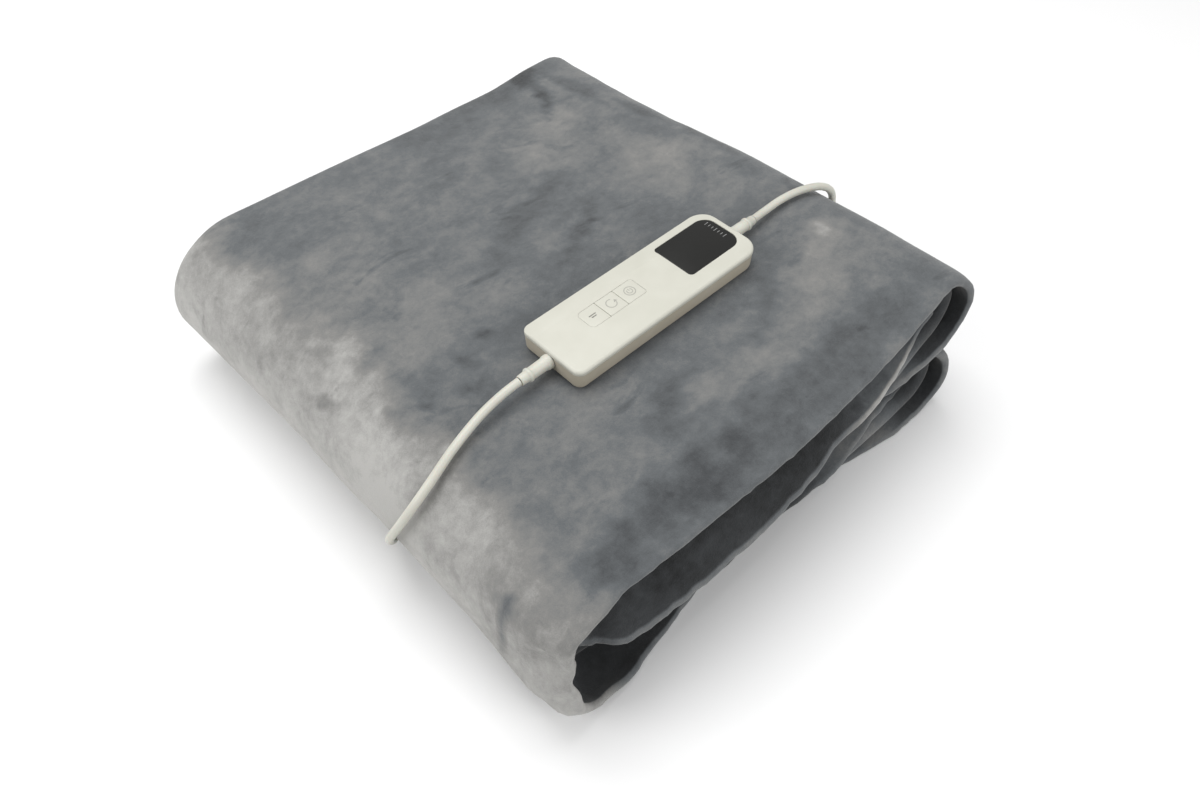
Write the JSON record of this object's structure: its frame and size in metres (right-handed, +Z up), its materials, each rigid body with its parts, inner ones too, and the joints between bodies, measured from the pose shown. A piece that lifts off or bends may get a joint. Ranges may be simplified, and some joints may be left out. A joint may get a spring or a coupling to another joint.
{
  "type": "electric heated blanket",
  "caption": "Folded plush electric heated blanket in a square stack, with a slim handset on top, a lead to the cloth and a coiled mains cord with a plug.",
  "frame": {"origin": "on the flat underside of the folded stack, near the centre of its footprint", "axes": "+Z up; +X from the big fold towards the two loops, along the handset; +Y from the open front edges towards the folded back"},
  "size_m": [0.4489, 0.4262, 0.1267],
  "materials": {
    "plush": "short grey plush pile with brushed patches",
    "shell": "satin cream-white moulding",
    "shell_side": "satin beige moulding",
    "window": "glossy black display window",
    "key": "satin cream keys with printed signs",
    "cord": "smooth white flexible sheath",
    "tie": "black woven strap",
    "pin": "plated metal pins"
  },
  "bodies": {
    "root": {"blanket": "plush", "handset_base": "shell_side", "handset_top": "shell", "display_window": "window", "relief_lead": "cord", "relief_mains": "cord", "cord_lead": "cord", "cord_mains": "cord", "cord_tail": "cord", "mains_coil": "cord", "coil_tie": "tie", "plug_relief": "cord", "plug_body": "cord", "plug_pin_left": "pin", "plug_pin_right": "pin"},
    "key_left": {"key_left": "key"},
    "key_middle": {"key_middle": "key"},
    "key_right": {"key_right": "key"}
  },
  "joints": [
    {"name": "press_left", "type": "slide", "parent": "root", "child": "key_left", "axis": [0, 0, -1], "range_m": [0, 0.0006], "stiffness_N_per_m": 800, "springref_m": -0.0006},
    {"name": "press_middle", "type": "slide", "parent": "root", "child": "key_middle", "axis": [0, 0, -1], "range_m": [0, 0.0006], "stiffness_N_per_m": 800, "springref_m": -0.0006},
    {"name": "press_right", "type": "slide", "parent": "root", "child": "key_right", "axis": [0, 0, -1], "range_m": [0, 0.0006], "stiffness_N_per_m": 800, "springref_m": -0.0006}
  ]
}
